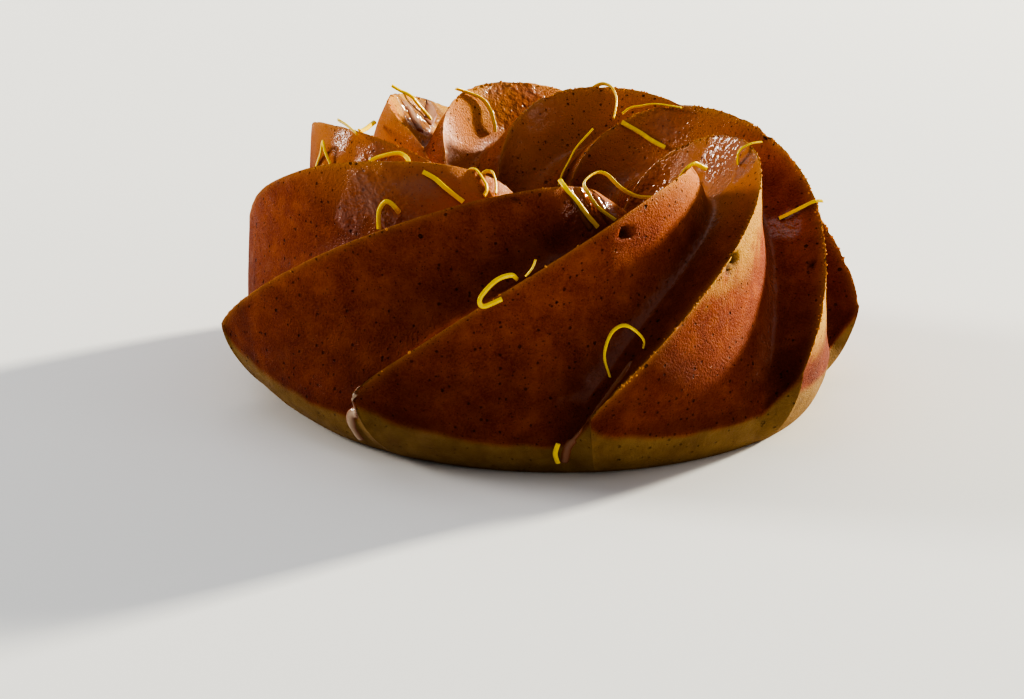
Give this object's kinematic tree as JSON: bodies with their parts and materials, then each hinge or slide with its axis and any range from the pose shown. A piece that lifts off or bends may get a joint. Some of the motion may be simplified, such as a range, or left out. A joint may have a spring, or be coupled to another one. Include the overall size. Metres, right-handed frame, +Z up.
{
  "type": "butter cake",
  "caption": "Ring-shaped butter cake with deep swirled folds, a browned crust, a pale foot, a centre hole and curls of lemon zest, standing on its flat base.",
  "frame": {"origin": "centre of the bounding box on the underside that the cake stands on", "axes": "+Z up, along the hole; -Y is the side the picture shows; the folds climb counter-clockwise seen from above"},
  "size_m": [0.2308, 0.2298, 0.0999],
  "materials": {
    "crust": "baked golden-brown crust, finely pored, with a thin glaze in its valleys and a pale foot",
    "zest": "moist lemon peel"
  },
  "bodies": {
    "root": {"cake": "crust", "zest_back_crest": "zest", "zest_back_drape": "zest", "zest_back_loop": "zest", "zest_coil_far": "zest", "zest_coil_near": "zest", "zest_cone_thread": "zest", "zest_finger": "zest", "zest_foot": "zest", "zest_front_curl": "zest", "zest_front_drape": "zest", "zest_front_loop": "zest", "zest_front_spike": "zest", "zest_hole_thread": "zest", "zest_inner_left": "zest", "zest_left_arch": "zest", "zest_left_crest": "zest", "zest_left_drape": "zest", "zest_left_thread": "zest", "zest_low_loop": "zest", "zest_right_crest": "zest", "zest_right_valley": "zest", "zest_tent": "zest"}
  },
  "joints": []
}
